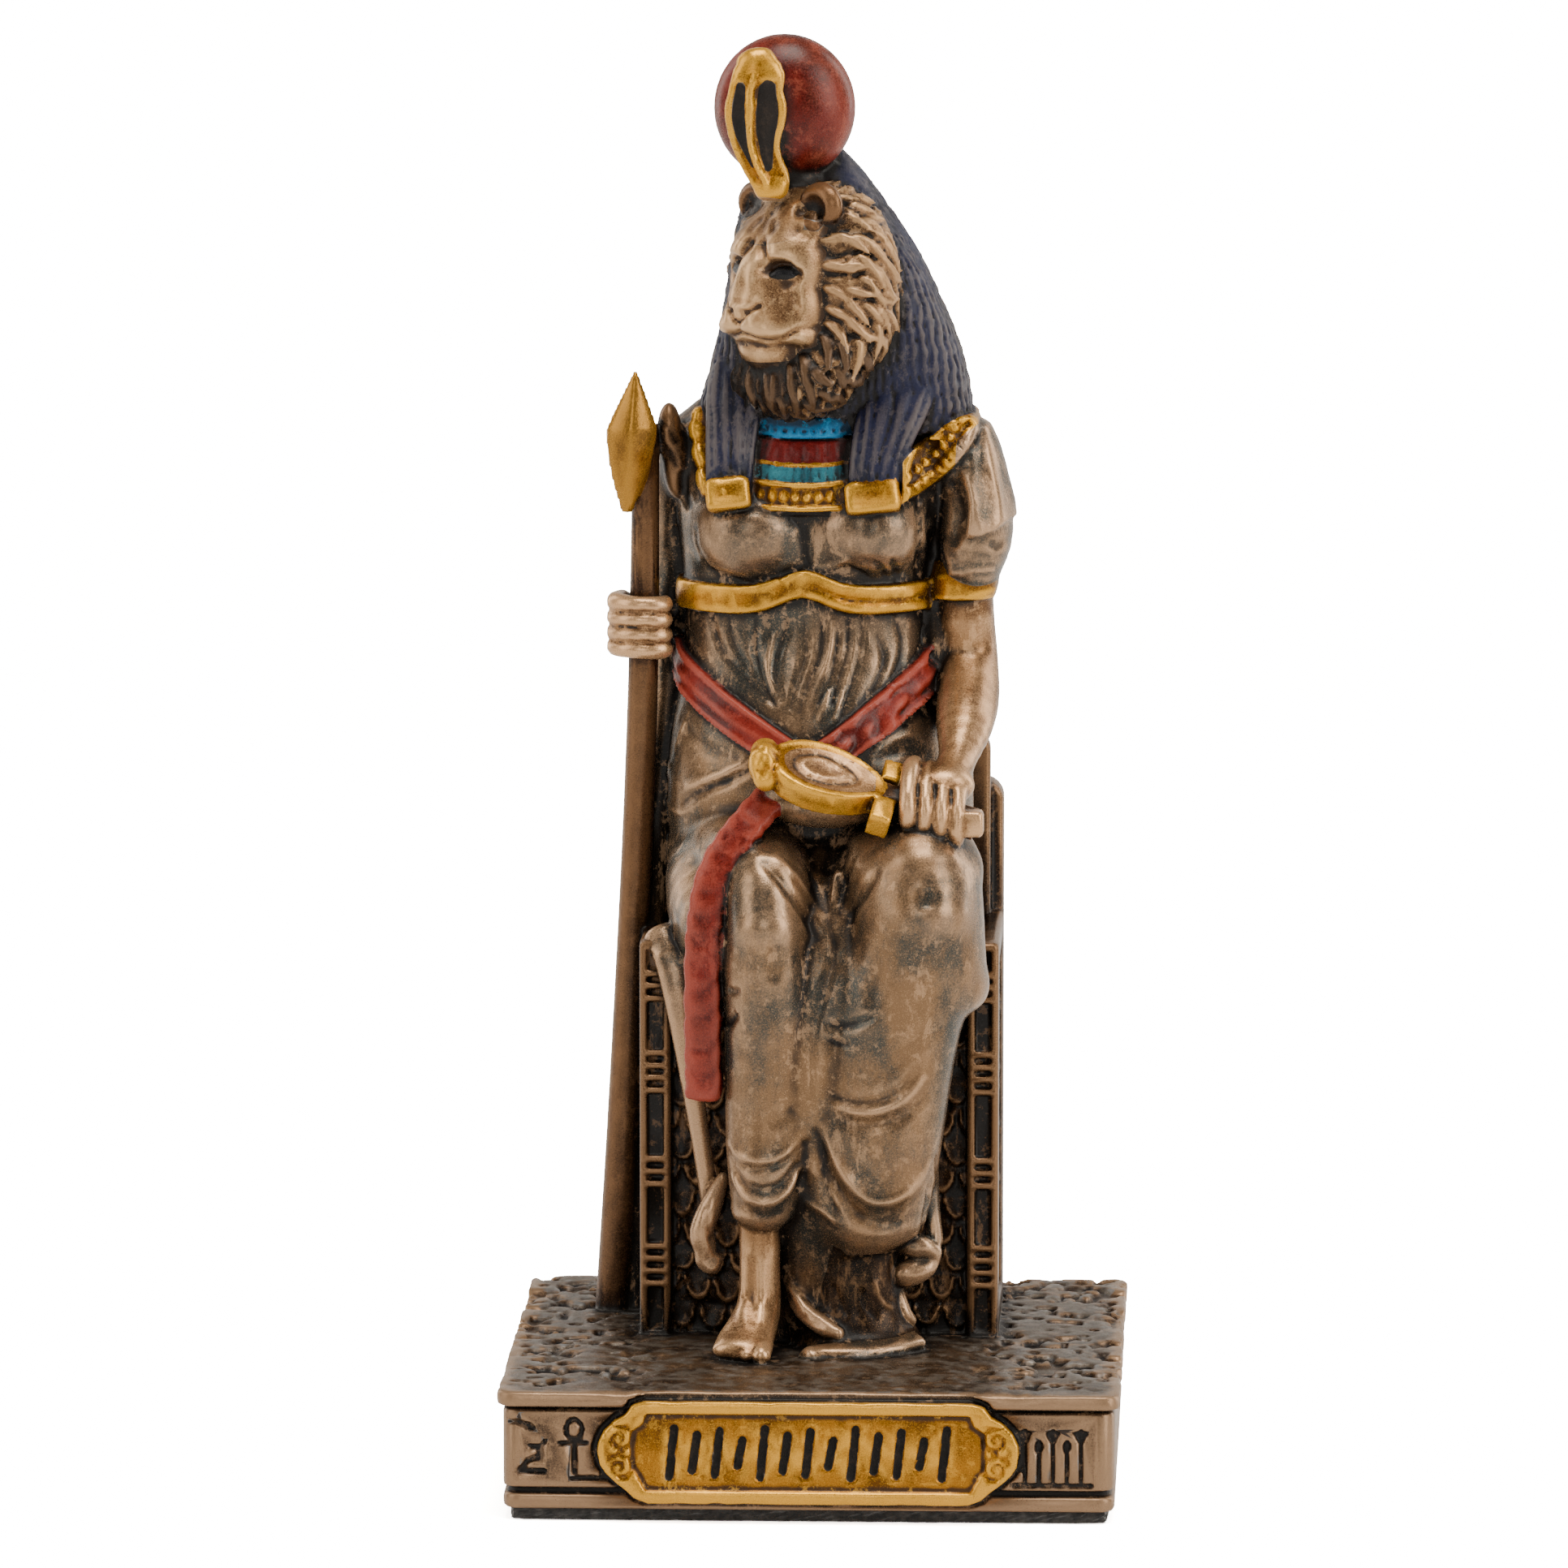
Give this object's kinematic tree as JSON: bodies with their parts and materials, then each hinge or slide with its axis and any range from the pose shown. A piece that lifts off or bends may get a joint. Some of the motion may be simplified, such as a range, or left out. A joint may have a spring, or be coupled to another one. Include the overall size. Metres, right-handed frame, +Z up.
{
  "type": "sekhmet statue",
  "caption": "Small painted cold-cast bronze figure of a seated lioness-headed goddess with sun disc, spear and ankh, on a throne and square plinth with a felt underside.",
  "frame": {"origin": "middle of the felt's underside, on the surface that the statue stands on", "axes": "+Z up, the figure and its name plate face -Y, the spear is on the -X side"},
  "size_m": [0.038, 0.0383, 0.0889],
  "materials": {
    "cold_cast_bronze": "bronze-filled resin, dark wash in the hollows, rubbed bright on the heights, hand-painted in gold, red, blue and turquoise, satin",
    "felt": "thin black felt, matt"
  },
  "bodies": {
    "root": {"sekhmet_statue": "cold_cast_bronze", "felt_pad": "felt"}
  },
  "joints": []
}
